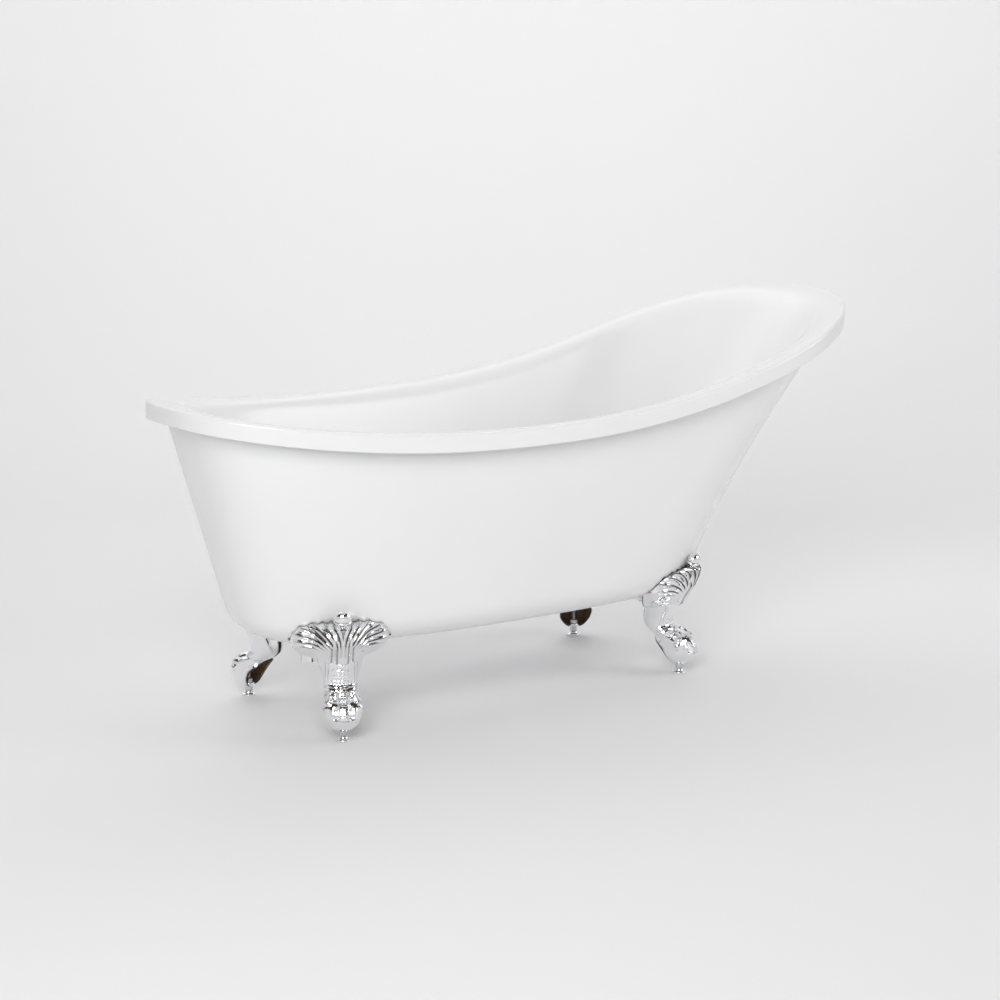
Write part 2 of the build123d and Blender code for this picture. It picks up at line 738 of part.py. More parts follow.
# ---------------------------------------------------------------- build
def main():
    """Builds every node and writes it."""
    save("inner_shell", make_inner_shell())
    save("outer_skirt", make_outer_skirt())
    save("base_board", make_base_board())
    for name, bearer in zip(("low_end_bearer", "high_end_bearer"), make_bearers()):
        save(name, bearer)
    around = skirt_body(-FOOT_WALL_GAP)
    feet = make_feet(around)
    for name, place, foot in zip(FOOT_NAMES, foot_places(), feet):
        save(f"{name}_foot", foot)
        save(f"{name}_block", make_block(*place, around))
        save(f"{name}_stem", make_stem(*place[:2]))
        save(f"{name}_pad", make_pad(*place[:2]))
    save("lock_nuts", make_lock_nuts())
    save("foot_bolts", make_foot_bolts())
    save("foot_washers", make_foot_washers())
    save("bolt_inserts", make_bolt_inserts())
    save("waste_flange", make_waste_flange())
    save("waste_seal", make_waste_seal())
    save("waste_under_seal", make_under_seal())
    save("waste_body", make_waste_body())
    save("tail_nut", make_tail_nut())
    save("tailpiece", make_tailpiece())
    save("plug", make_plug())
    save("plug_seal", make_plug_seal())
    save("overflow_cover", make_overflow_cover())
    save("overflow_seal", make_overflow_seal())
    save("overflow_housing", make_overflow_housing())
    save("overflow_pipe", make_overflow_pipe())


main()
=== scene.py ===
import json
import math

import bpy
import numpy as np
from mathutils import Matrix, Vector


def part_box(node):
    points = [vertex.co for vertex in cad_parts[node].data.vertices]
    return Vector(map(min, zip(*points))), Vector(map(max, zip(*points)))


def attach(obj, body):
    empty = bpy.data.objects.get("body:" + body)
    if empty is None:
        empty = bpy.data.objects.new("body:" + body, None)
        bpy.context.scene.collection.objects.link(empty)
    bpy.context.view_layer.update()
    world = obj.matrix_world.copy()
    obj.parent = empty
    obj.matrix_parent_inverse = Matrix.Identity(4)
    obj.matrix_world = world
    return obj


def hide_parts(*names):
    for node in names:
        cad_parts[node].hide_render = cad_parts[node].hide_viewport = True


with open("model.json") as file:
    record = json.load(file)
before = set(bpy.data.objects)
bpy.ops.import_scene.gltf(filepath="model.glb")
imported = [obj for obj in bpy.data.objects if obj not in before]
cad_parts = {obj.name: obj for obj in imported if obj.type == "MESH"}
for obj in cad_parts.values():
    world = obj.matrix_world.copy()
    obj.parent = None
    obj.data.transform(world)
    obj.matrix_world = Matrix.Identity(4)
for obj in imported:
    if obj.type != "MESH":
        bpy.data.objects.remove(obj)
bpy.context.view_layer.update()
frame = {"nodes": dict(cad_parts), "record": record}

# Looks of the slipper bath on ball-and-claw feet. The tub's formulas work in millimetres in
# the row frame; every mesh is scaled to metres when it is made.

MM = 0.001
FEET = ("front_left", "back_left", "front_right", "back_right")

# ---- rim, basin and skirt, as in the CAD source ----
LENGTH = 1700.0
WIDTH = 710.0
WIDEST_X = 440.0
RIM_POWERS = (2.9, 2.2)        # low end, slipper end
SHEER_LOW = (-220.0, 631.0)
SHEER_FOOT_RISE = 63.0
SHEER_BACK_RISE = 200.0
SHEER_BACK_SHAPE = (0.25, 2.16, -1.41)
BAND_HEIGHT = 38.0
BAND_EDGE = 7.0
BASIN_INSETS = (58.0, 90.0, 64.0)   # side, low end, slipper end
FLAT_WIDTHS = (22.0, 52.0, 30.0)    # flat of the rim: side, low end, slipper end
ROLL_DEPTH = 46.0
FLOOR = (-50.0, -640.0, 380.0, 182.0, 2.5)        # widest x, low x, high x, half width, power
FLOOR_Z = 235.0
FLOOR_CORNER = 70.0
UNDERSIDE = (10.0, -680.0, 420.0, 242.0, 2.6, 2.7)
UNDERSIDE_Z = 186.0
UNDERSIDE_CORNER = 60.0
SKIRT_INSET = 40.0
BASIN_FLARE = 0.41
SKIRT_FLARE = 0.67
FOOT_TURN = math.radians(64.0)
WASTE_X = -524.0
WASTE_HOLE_R = 22.5
SKIRT_HOLE_R = 55.0
SHELL_THICK = 4.0
COLUMNS = 360

# ---- camera: the photo's viewing angle ----
CAMERA_PLACE = (-2.8663, -4.0636, 1.4297)
CAMERA_TARGET = (-0.03475, 0.0, 0.40704)
CAMERA_LENS = 82.34


# ---------------------------------------------------------------- meshes
def mesh_object(name, points, faces):
    """A smooth-shaded object from points in millimetres."""
    mesh = bpy.data.meshes.new(name)
    mesh.from_pydata((np.asarray(points) * MM).tolist(), [], faces)
    mesh.update()
    mesh.shade_smooth()
    obj = bpy.data.objects.new(name, mesh)
    bpy.context.scene.collection.objects.link(obj)
    return obj


def grid_faces(rows, columns, wrap_rows, wrap_columns, start=0, flip=False):
    """Quads of a grid of points, row after row."""
    faces = []
    for i in range(rows if wrap_rows else rows - 1):
        upper = (i + 1) % rows
        for j in range(columns if wrap_columns else columns - 1):
            right = (j + 1) % columns
            quad = [i * columns + j, i * columns + right, upper * columns + right, upper * columns + j]
            quad = [start + k for k in quad]
            faces.append(quad[::-1] if flip else quad)
    return faces


def loop_shell(name, rings):
    """A closed skin through closed rings; the last ring joins the first."""
    grid = np.array(rings)
    rows, columns = grid.shape[:2]
    return mesh_object(name, grid.reshape(-1, 3), grid_faces(rows, columns, True, True))


def capped_tube(name, rings):
    """A closed skin through closed rings, with a fan over each end."""
    grid = np.array(rings)
    rows, columns = grid.shape[:2]
    points = np.vstack([grid.reshape(-1, 3), grid[0].mean(0), grid[-1].mean(0)])
    faces = grid_faces(rows, columns, False, True)
    first, last = rows * columns, rows * columns + 1
    for j in range(columns):
        right = (j + 1) % columns
        faces.append([first, right, j])
        faces.append([last, (rows - 1) * columns + j, (rows - 1) * columns + right])
    return mesh_object(name, points, faces)


def grid_normals(grid, wrap):
    """Unit normals of a grid of points; columns cross rows."""
    if wrap:
        across = np.roll(grid, -1, 1) - np.roll(grid, 1, 1)
    else:
        across = np.gradient(grid, axis=1)
    along = np.gradient(grid, axis=0)
    normals = np.cross(across, along)
    size = np.linalg.norm(normals, axis=2, keepdims=True)
    return normals / np.maximum(size, 1e-9)


def thick_sheet(name, front, thickness):
    """A closed plate: the front grid and the same grid moved back along its normals."""
    back = front - grid_normals(front, False) * thickness
    rows, columns = front.shape[:2]
    count = rows * columns
    points = np.vstack([front.reshape(-1, 3), back.reshape(-1, 3)])
    faces = grid_faces(rows, columns, False, False)
    faces += grid_faces(rows, columns, False, False, count, True)
    for i in range(rows - 1):
        low, high = i * columns, (i + 1) * columns
        faces.append([low, high, high + count, low + count])
        last, next_last = low + columns - 1, high + columns - 1
        faces.append([last, last + count, next_last + count, next_last])
    top = (rows - 1) * columns
    for j in range(columns - 1):
        faces.append([j, j + count, j + 1 + count, j + 1])
        faces.append([top + j, top + j + 1, top + j + 1 + count, top + j + count])
    sheet = mesh_object(name, points, faces)
    side = (rows - 1) * (columns - 1)
    for polygon in sheet.data.polygons[side:2 * side]:
        polygon.material_index = 1
    return sheet


def lathe_rings(profile, columns=64):
    """Rings about the Z axis through (radius, height) points."""
    turn = np.linspace(0, 2 * np.pi, columns, endpoint=False)
    rings = []
    for radius, height in profile:
        ring = [radius * np.cos(turn), radius * np.sin(turn), np.full(columns, height)]
        rings.append(np.stack(ring, 1))
    return np.array(rings)


def arc(centre, radius, start, end, steps=6):
    """Points of an arc in a (radius, height) profile, angles in degrees."""
    angles = np.radians(np.linspace(start, end, steps))
    return [(centre[0] + radius * math.cos(a), centre[1] + radius * math.sin(a)) for a in angles]


def smooth_step(low, high, value):
    """0 below low, 1 above high, smooth between."""
    share = np.clip((value - low) / (high - low), 0, 1)
    return share * share * (3 - 2 * share)


# ---------------------------------------------------------------- tub curves
def between(low_start, low_end, high_start, high_end, value):
    """1 inside a range and 0 outside it, smooth at both ends."""
    return smooth_step(low_start, low_end, value) * (1 - smooth_step(high_start, high_end, value))


def ridge(value, middle, width):
    """1 at the middle, falling away smoothly to both sides."""
    return np.exp(-(((value - middle) / width) ** 2))


def power(value, exponent):
    """Signed power."""
    return np.sign(value) * np.abs(value) ** exponent


def outline(angle, widest_x, x_low, x_high, half_width, low_power, high_power=None):
    """Plan points of two superellipse halves."""
    high_power = high_power or low_power
    exponent = np.where(np.cos(angle) > 0, high_power, low_power)
    reach = np.where(np.cos(angle) > 0, x_high - widest_x, widest_x - x_low)
    x = widest_x + reach * power(np.cos(angle), 2 / exponent)
    return np.stack([x, half_width * power(np.sin(angle), 2 / exponent)], 1)


def rim_plan(angle, inset=0.0):
    """Plan of the rim, moved in by inset along its two axes."""
    half = LENGTH / 2 - inset
    if np.ndim(inset) == 0:
        return outline(angle, WIDEST_X, -half, half, WIDTH / 2 - inset, *RIM_POWERS)
    exponent = np.where(np.cos(angle) > 0, RIM_POWERS[1], RIM_POWERS[0])
    reach = np.where(np.cos(angle) > 0, half - WIDEST_X, WIDEST_X + half)
    x = WIDEST_X + reach * power(np.cos(angle), 2 / exponent)
    return np.stack([x, (WIDTH / 2 - inset) * power(np.sin(angle), 2 / exponent)], 1)


def rim_height(x):
    """Height of the rim's top at x."""
    low_x, low_z = SHEER_LOW
    foot = np.clip((low_x - x) / (low_x + LENGTH / 2), 0, None)
    back = np.clip((x - low_x) / (LENGTH / 2 - low_x), 0, None)
    square, cube, fourth = SHEER_BACK_SHAPE
    rise = square * back**2 + cube * back**3 + fourth * back**4
    return low_z + SHEER_FOOT_RISE * foot**2 + SHEER_BACK_RISE * rise


def even_angles(count):
    """Angles that space the rim's points evenly."""
    fine = np.linspace(0, 2 * np.pi, 20001)
    plan = rim_plan(fine)
    lengths = np.concatenate([[0], np.cumsum(np.linalg.norm(np.diff(plan, axis=0), axis=1))])
    return np.interp(np.arange(count) / count * lengths[-1], lengths, fine)


ANGLES = even_angles(COLUMNS)


def blend_round(values):
    """A side, low-end and slipper-end value, blended round the rim."""
    side, low, high = values
    end = np.where(np.cos(ANGLES) > 0, high, low)
    return side + (end - side) * np.cos(ANGLES) ** 4


def plan_normals(plan):
    """Inward unit normals of a closed plan."""
    along = np.roll(plan, -1, 0) - np.roll(plan, 1, 0)
    inward = np.stack([-along[:, 1], along[:, 0]], 1)
    return inward / np.linalg.norm(inward, axis=1, keepdims=True)


def corner_inset(above, radius):
    """How far a rounded bottom corner draws a wall in, at a height above its base."""
    within = np.clip(radius - above, 0, radius)
    return radius - np.sqrt(radius**2 - within**2)


def wall_ring(foot, base_z, head, top, share, corner, flare):
    """One ring of a wall at a share of its height above base_z."""
    flare = np.where(np.cos(ANGLES) > 0, flare * np.cos(ANGLES) ** 2, 0.0)
    outward = (1 - flare) * share + flare * share**2
    plan = foot + (head - foot) * outward[:, None]
    z = base_z + (top - base_z) * share
    plan = plan + plan_normals(plan) * corner_inset(z - base_z, corner)[:, None]
    return np.column_stack([plan, z])


def wall_rings(foot, base_z, head, top, corner, start, steps, flare):
    """Rings from a share of the wall's height down to the end of the bottom corner."""
    height = top - base_z
    shares = []
    for i in range(steps):
        part = i / steps
        shares.append(start * (1 - part) + corner / height * part)
    for turn in np.radians(np.linspace(90, 0, 14)):
        shares.append(corner * (1 - math.cos(turn)) / height)
    return [wall_ring(foot, base_z, head, top, share, corner, flare) for share in shares]


def floor_rings(edge, radius, steps):
    """Flat rings from a closed edge in to a circle round the waste."""
    turn = np.arctan2(edge[:, 1], edge[:, 0] - WASTE_X)
    circle = np.column_stack([WASTE_X + radius * np.cos(turn), radius * np.sin(turn), edge[:, 2]])
    return [edge + (circle - edge) * i / steps for i in range(1, steps + 1)]


def closed_by_thickness(rings, thickness):
    """The rings, and behind them the same rings moved back by a thickness, in one loop."""
    grid = np.array(rings)
    back = grid - grid_normals(grid, True) * thickness
    return np.concatenate([grid, back[::-1]])


def rim_ring(plan, inward, inset, drop):
    """A ring of the rim at an inset from its edge and a drop below its top."""
    moved = plan + inward * np.reshape(inset, (-1, 1))
    return np.column_stack([moved, rim_height(moved[:, 0]) - drop])


def band_profile():
    """(inset, drop) points from the band's lower lip up to the flat of the rim."""
    lip = [(2.6, BAND_HEIGHT - 0.1), (1.3, BAND_HEIGHT - 0.35), (0.4, BAND_HEIGHT - 1.2)]
    face = [(0.0, drop) for drop in np.linspace(BAND_HEIGHT - 2.6, BAND_EDGE + 2, 6)]
    edge = []
    for turn in np.radians(np.linspace(0, 90, 9)):
        edge.append((BAND_EDGE * (1 - math.cos(turn)), BAND_EDGE * (1 - math.sin(turn))))
    return lip + face + edge


def roll_rings(plan, inward, wall_top, wall_next):
    """The rim's flat and its roll down to the basin's wall."""
    flat = blend_round(FLAT_WIDTHS)
    rings = []
    for share in np.linspace(0.15, 0.85, 5):
        rings.append(rim_ring(plan, inward, BAND_EDGE + (flat - BAND_EDGE) * share, 0.0))
    start = rim_ring(plan, inward, flat, 0.0)
    before = rim_ring(plan, inward, BAND_EDGE + (flat - BAND_EDGE) * 0.85, 0.0)
    reach = np.linalg.norm(wall_top - start, axis=1, keepdims=True)
    level = (start - before) / np.linalg.norm(start - before, axis=1, keepdims=True)
    rising = (wall_top - wall_next) / np.linalg.norm(wall_top - wall_next, axis=1, keepdims=True)
    pull_in = start + level * reach * 0.42
    pull_up = wall_top + rising * reach * 0.42
    for t in np.linspace(0, 1, 20)[:-1]:
        point = (1 - t) ** 3 * start + 3 * (1 - t) ** 2 * t * pull_in
        rings.append(point + 3 * (1 - t) * t**2 * pull_up + t**3 * wall_top)
    return rings


def make_tub_shell():
    """Rim band, rolled rim and basin: one thick skin round to the waste hole."""
    plan = rim_plan(ANGLES)
    inward = plan_normals(plan)
    head = rim_plan(ANGLES, blend_round(BASIN_INSETS))
    top = rim_height(head[:, 0])
    start = 1 - ROLL_DEPTH / (top - FLOOR_Z)
    foot = outline(ANGLES, *FLOOR)
    walls = wall_rings(foot, FLOOR_Z, head, top, FLOOR_CORNER, start, 22, BASIN_FLARE)
    rings = [rim_ring(plan, inward, inset, drop) for inset, drop in band_profile()]
    rings += roll_rings(plan, inward, walls[0], walls[1])
    rings += walls
    rings += floor_rings(walls[-1], WASTE_HOLE_R, 24)
    return loop_shell("tub_shell", closed_by_thickness(rings, SHELL_THICK))


def skirt_rings():
    """Rings of the skirt's outer face from up inside the band down to the underside."""
    head = rim_plan(ANGLES, SKIRT_INSET)
    top = rim_height(head[:, 0]) - BAND_HEIGHT
    start = 1 + (BAND_HEIGHT - 12) / (top - UNDERSIDE_Z)
    foot = outline(ANGLES, *UNDERSIDE)
    return wall_rings(foot, UNDERSIDE_Z, head, top, UNDERSIDE_CORNER, start, 30, SKIRT_FLARE)


def make_tub_skirt():
    """Outer wall, turned under to the hole round the waste."""
    rings = skirt_rings()
    rings += floor_rings(rings[-1], SKIRT_HOLE_R, 20)
    grid = np.array(rings)[:, ::-1]
    return loop_shell("tub_skirt", closed_by_thickness(grid, SHELL_THICK))


# ---------------------------------------------------------------- foot frame
class Place:
    """Where one foot stands and which way it faces."""

    def __init__(self, name):
        low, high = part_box(f"{name}_pad")
        self.name = name
        self.x = (low.x + high.x) / 2 / MM
        self.y = (low.y + high.y) / 2 / MM
        side = math.copysign(math.sin(FOOT_TURN), self.y)
        end = math.copysign(math.cos(FOOT_TURN), self.x)
        self.turn = math.atan2(side, end)

    def to_frame(self, points):
        """Foot points (out, across, up) to the row frame."""
        points = np.asarray(points, float)
        out, across = points[..., 0], points[..., 1]
        cos, sin = math.cos(self.turn), math.sin(self.turn)
        x = self.x + out * cos - across * sin
        y = self.y + out * sin + across * cos
        return np.stack([x, y, points[..., 2]], -1)

    def to_foot(self, points):
        """Row-frame points to (out, across, up)."""
        dx, dy = points[..., 0] - self.x, points[..., 1] - self.y
        cos, sin = math.cos(self.turn), math.sin(self.turn)
        return np.stack([dx * cos + dy * sin, dy * cos - dx * sin, points[..., 2]], -1)


WALL_ACROSS = np.linspace(-120, 120, 97)
WALL_UP = np.arange(196.0, 300.0, 2.0)
CONTACT_KNEE = 213.0      # below this the casting's back runs down at 45 degrees
CONTACT_GAP = 0.6


def wall_table(place):
    """How far out the skirt's face is, on a grid of heights and distances across."""
    head = rim_plan(ANGLES, SKIRT_INSET)
    top = rim_height(head[:, 0]) - BAND_HEIGHT
    foot = outline(ANGLES, *UNDERSIDE)
    table = []
    for z in WALL_UP:
        share = (z - UNDERSIDE_Z) / (top - UNDERSIDE_Z)
        ring = wall_ring(foot, UNDERSIDE_Z, head, top, share, UNDERSIDE_CORNER, SKIRT_FLARE)
        ring = place.to_foot(ring)
        near = ring[(ring[:, 0] > -160) & (np.abs(ring[:, 1]) < 170)]
        near = near[np.argsort(near[:, 1])]
        table.append(np.interp(WALL_ACROSS, near[:, 1], near[:, 0]))
    return np.array(table)


def wall_out(table, across, up):
    """The skirt's distance out at each point, and the 45 degree line below the knee."""
    held = np.clip(up, CONTACT_KNEE, WALL_UP[-1])
    row = (held - WALL_UP[0]) / (WALL_UP[1] - WALL_UP[0])
    column = (np.clip(across, -119, 119) - WALL_ACROSS[0]) / (WALL_ACROSS[1] - WALL_ACROSS[0])
    r0 = np.clip(row.astype(int), 0, len(WALL_UP) - 2)
    c0 = np.clip(column.astype(int), 0, len(WALL_ACROSS) - 2)
    fr, fc = row - r0, column - c0
    low = table[r0, c0] * (1 - fc) + table[r0, c0 + 1] * fc
    high = table[r0 + 1, c0] * (1 - fc) + table[r0 + 1, c0 + 1] * fc
    out = low * (1 - fr) + high * fr
    return out - np.clip(CONTACT_KNEE - up, 0, None) + CONTACT_GAP


# ---------------------------------------------------------------- crest
CREST_HALF = 103.0
CREST_TOP = ((0, 252), (22, 252), (45, 250), (70, 246), (88, 238), (97, 227), (103, 209))
CREST_BOTTOM = (
    (0, 156), (10, 160), (20, 164), (32, 157), (46, 156),
    (60, 158), (76, 165), (90, 176), (98, 187), (103, 201),
)
CREST_FRONT = ((160, 1), (163, 3), (178, 9), (193, 18), (208, 28), (228, 36), (245, 38), (256, 36))
LOBE_PROUD = ((0.0, 22), (0.15, 34), (0.4, 36), (0.7, 27), (1.0, 17))
FLUTE_ROOT = (8.0, 172.0)
FLUTE_PITCH = 11.5
FLUTE_DEPTH = 8.5


def curve_at(points, where):
    """Smooth-ish reading of a list of (where, value) points."""
    table = np.array(points, float)
    return np.interp(where, table[:, 0], table[:, 1])


SCALLOP_DROP = 5.0
CASTING_THICK = 3.5


def flute_relief(across, up):
    """Scallops that fan out over the lobes: 0 on the ridges, -1 in the grooves."""
    side = np.abs(across) - FLUTE_ROOT[0]
    rise = up - FLUTE_ROOT[1]
    reach = np.hypot(side, rise)
    swirl = np.degrees(np.arctan2(rise, side)) + 0.28 * reach
    wave = 0.5 - 0.5 * np.cos(2 * np.pi * (swirl - 53) / FLUTE_PITCH + np.pi)
    mask = between(36, 46, 108, 116, swirl)
    depth = smooth_step(26, 62, reach)
    return -(wave**0.8) * mask * depth


def rib_relief(across, up):
    """Raised middle rib with a groove, flaring under the finial."""
    flare = 8 * smooth_step(232, 250, up)
    half = 14 + flare
    edge = np.abs(across)
    rib = 6.0 * (1 - smooth_step(half - 3, half + 1.5, edge))
    groove = 4.0 * ridge(edge, 0, 3.0) * smooth_step(170, 182, up)
    groove *= 1 - smooth_step(228, 242, up)
    channel = 5.0 * ridge(edge - half, 3.5, 3.0)
    return rib - groove - channel


def make_crest(place):
    """The fluted two-lobed crest, hollow behind, fitted to the tub's wall."""
    table = wall_table(place)
    swing = np.linspace(-1, 1, 241)
    across = CREST_HALF * np.sin(swing * np.pi / 2)
    share = np.linspace(0, 1, 97)
    share = share - 0.08 * np.sin(2 * np.pi * share)
    top = curve_at(CREST_TOP, np.abs(across))
    bottom = curve_at(CREST_BOTTOM, np.abs(across))
    v = np.repeat(across[None], len(share), 0)
    s = np.repeat(share[:, None], len(across), 1)
    w = bottom + (top - bottom) * s
    flutes = flute_relief(v, w)
    w = w + SCALLOP_DROP * flutes * smooth_step(0.8, 1.0, s)
    back = wall_out(table, v, w)
    middle = curve_at(CREST_FRONT, w) - wall_out(table, np.zeros_like(v), w)
    lobe = curve_at(LOBE_PROUD, s)
    blend = smooth_step(18, 62, np.abs(v))
    proud = middle * (1 - blend) + lobe * blend + FLUTE_DEPTH * flutes
    proud = proud + rib_relief(v, w) * (1 - blend)
    tip = np.clip(1 - (np.abs(v) / CREST_HALF) ** 6, 0, 1) ** 0.5
    crown = np.clip(1 - np.clip((s - 0.92) / 0.08, 0, 1) ** 2, 0, 1) ** 0.5
    curl = 12 * np.clip((0.07 - s) / 0.07, 0, 1) ** 2
    u = back + proud * tip * crown - curl
    front = np.stack([u, v, w], -1)
    return thick_sheet(f"{place.name}_crest", place.to_frame(front)[:, ::-1], -CASTING_THICK)


# ---------------------------------------------------------------- leg and ball
# front point, back point, half width, middle's share, roundness, opening angle
LEG_SECTIONS = (
    ((0, 184), (-44, 184), 47, 0.45, 2.5, 176),
    ((-6, 172), (-56, 172), 47, 0.45, 2.5, 177),
    ((-9, 160), (-70, 160), 46.5, 0.45, 2.5, 177),
    ((-11, 150), (-75, 151), 45, 0.45, 2.5, 177),
    ((-15, 139), (-78, 140), 41.5, 0.46, 2.5, 177),
    ((-17, 126), (-80, 124), 37.5, 0.47, 2.5, 177),
    ((-16, 113), (-78, 109), 35, 0.48, 2.5, 177),
    ((-12, 104), (-73, 100), 34.5, 0.5, 2.4, 176),
    ((-6, 98), (-64, 93), 35.5, 0.5, 2.3, 172),
    ((6, 94), (-54, 88), 37, 0.52, 2.2, 158),
    ((17, 89), (-47, 80), 38, 0.53, 2.1, 130),
    ((26, 82), (-38, 72), 38.5, 0.52, 2.0, 106),
    ((33, 73), (-30, 63), 38.5, 0.47, 2.0, 100),
    ((37.5, 62), (-24, 55), 38.5, 0.39, 2.0, 106),
    ((38, 52), (-20, 48), 37.5, 0.35, 2.0, 110),
    ((35, 42), (-17, 41), 34.5, 0.33, 2.0, 114),
    ((29, 33.5), (-15, 34), 29, 0.34, 2.0, 116),
    ((21, 27), (-13, 28), 21.5, 0.38, 2.0, 114),
    ((13, 23), (-10, 24), 13, 0.43, 2.0, 108),
)
COLUMN_SHIFT = 5.0
SCALE_ROWS = (140.0, 131.5, 123.5, 115.5)
SCALE_PITCH = 7.0
TALON_PITCH = 6.2
LEG_ROWS = 260
LEG_COLUMNS = 221


# heights between which the ball's line passes into the column's
COLUMN_STARTS = (96, 118)
# 1 spaces the leg's columns evenly, less crowds them at the front
SWING_EVENNESS = 0.5


def spread_sections(steps):
    """The leg's sections, read smoothly at even steps."""
    rows = []
    for front, back, half, middle, roundness, opening in LEG_SECTIONS:
        rows.append([*front, *back, half, middle, roundness, opening])
    rows = np.array(rows, float)
    drawn_in = COLUMN_SHIFT * smooth_step(*COLUMN_STARTS, rows[:, 1])
    rows[:, 0] -= drawn_in
    rows[:, 2] -= drawn_in
    where = np.linspace(0, len(rows) - 1, steps)
    base = np.clip(where.astype(int), 0, len(rows) - 2)
    t = (where - base)[:, None]
    padded = np.vstack([2 * rows[0] - rows[1], rows, 2 * rows[-1] - rows[-2]])
    p0, p1, p2, p3 = (padded[base + k] for k in range(4))
    even = 2 * p1 + (p2 - p0) * t + (2 * p0 - 5 * p1 + 4 * p2 - p3) * t**2
    return 0.5 * (even + (3 * p1 - p0 - 3 * p2 + p3) * t**3)


def leg_grid(rows, columns):
    """The leg's and ball's smooth form before its relief, and each column's angle."""
    swing = np.linspace(-1, 1, columns)
    swing = SWING_EVENNESS * swing + (1 - SWING_EVENNESS) * swing**3
    grid = []
    for f_out, f_up, b_out, b_up, half, middle, roundness, opening in spread_sections(rows):
        angle = np.radians(opening) * swing
        ahead = np.clip(np.cos(angle), 0, None) ** (2 / roundness)
        behind = np.clip(-np.cos(angle), 0, None) / -math.cos(math.radians(opening))
        share = middle + (1 - middle) * ahead - middle * behind
        width = half * np.sign(swing) * np.abs(np.sin(angle)) ** (2 / roundness)
        out = b_out + (f_out - b_out) * share
        up = b_up + (f_up - b_up) * share
        grid.append(np.stack([out, width, up], 1))
    return np.array(grid)


def scale_relief(across, up, ahead):
    """Rows of small raised squares down the front of the column."""
    cell = np.abs((across / SCALE_PITCH + 0.5) % 1 - 0.5)
    inside = 1 - smooth_step(0.22, 0.40, cell)
    relief = np.zeros_like(up)
    for i, row in enumerate(SCALE_ROWS):
        tall = 1 - smooth_step(1.4, 3.2, np.abs(up - row))
        relief -= tall * inside * (0.3 + 0.2 * i)
    return relief * (1 - smooth_step(20, 23, np.abs(across))) * ahead


NOTCH_PITCH = 12


def talon_relief(across, up, ahead):
    """Middle talon with its scales, two side talons, and the hollows between them."""
    edge = np.abs(across)
    span = between(49, 54, 97, 102, up)
    middle = 4.0 * (1 - smooth_step(6.5, 14, edge)) * span
    lines_up = np.abs((up / TALON_PITCH) % 1 - 0.5)
    lines_across = np.abs((across / TALON_PITCH) % 1 - 0.5)
    cut = np.maximum(smooth_step(0.26, 0.48, lines_up), smooth_step(0.26, 0.48, lines_across))
    middle -= 0.4 * cut * (1 - smooth_step(9.5, 10.5, edge)) * span
    line = 22 + (100 - up) * 0.5
    side = 5.0 * ridge(edge, line, 4.5) * smooth_step(58, 64, up)
    side *= 1 - smooth_step(98, 103, up)
    knuckles = 1 + 0.2 * np.cos(2 * np.pi * up / NOTCH_PITCH)
    hollow = 6.0 * ridge(edge, 17, 4.2) * smooth_step(52, 58, up)
    hollow *= 1 - smooth_step(70, 84, up)
    return (middle + side * knuckles - hollow) * ahead


def ankle_relief(across, up, ahead):
    """Ring over the talons, notched, and the column's edge lines."""
    notches = 0.85 + 0.15 * np.cos(2 * np.pi * across / NOTCH_PITCH)
    ring = 2.2 * ridge(up, 105, 4.5) * notches
    edge = np.abs(across)
    lines = 1.3 * ridge(edge, 32, 1.8) + 0.9 * ridge(edge, 27, 1.5)
    lines *= between(110, 118, 158, 166, up)
    return (ring + lines) * ahead


def make_leg(place):
    """Column, ankle, talons and ball: one hollow casting, open behind."""
    grid = leg_grid(LEG_ROWS, LEG_COLUMNS)
    normals = grid_normals(grid, False)
    flip = np.sign(normals[:, LEG_COLUMNS // 2, 0].mean())
    normals = normals * flip
    across, up = grid[..., 1], grid[..., 2]
    ahead = smooth_step(0.05, 0.4, normals[..., 0] + 0.6 * np.clip(normals[..., 2], 0, 1))
    relief = scale_relief(across, up, ahead) + talon_relief(across, up, ahead)
    relief += ankle_relief(across, up, ahead)
    front = grid + normals * relief[..., None]
    return thick_sheet(f"{place.name}_leg", place.to_frame(front), CASTING_THICK * flip)


# ---------------------------------------------------------------- small foot pieces
FINIAL_LEAN = 22
FINIAL_FLATNESS = 0.78
FINIAL_OUT = 32
FINIAL_UP = 266


def make_finial(place):
    """Half-round finial on a collar, leaning with the wall."""
    profile = [(7.5, -26), (7.5, -14), (9, -11), (13.5, -9.5)]
    profile += arc((15.5, -6.5), 3.0, -90, 60, 6)
    profile += [(15.5, -2.6), (17.5, -1.8)]
    profile += arc((0, -1.5), 17.8, 4, 86, 12)
    rings = lathe_rings(profile, 48)
    lean = math.radians(FINIAL_LEAN)
    x, z = rings[..., 0] * FINIAL_FLATNESS, rings[..., 2]
    out = x * math.cos(lean) + z * math.sin(lean) + FINIAL_OUT
    up = -x * math.sin(lean) + z * math.cos(lean) + FINIAL_UP
    points = np.stack([out, rings[..., 1], up], -1)
    return capped_tube(f"{place.name}_finial", place.to_frame(points))


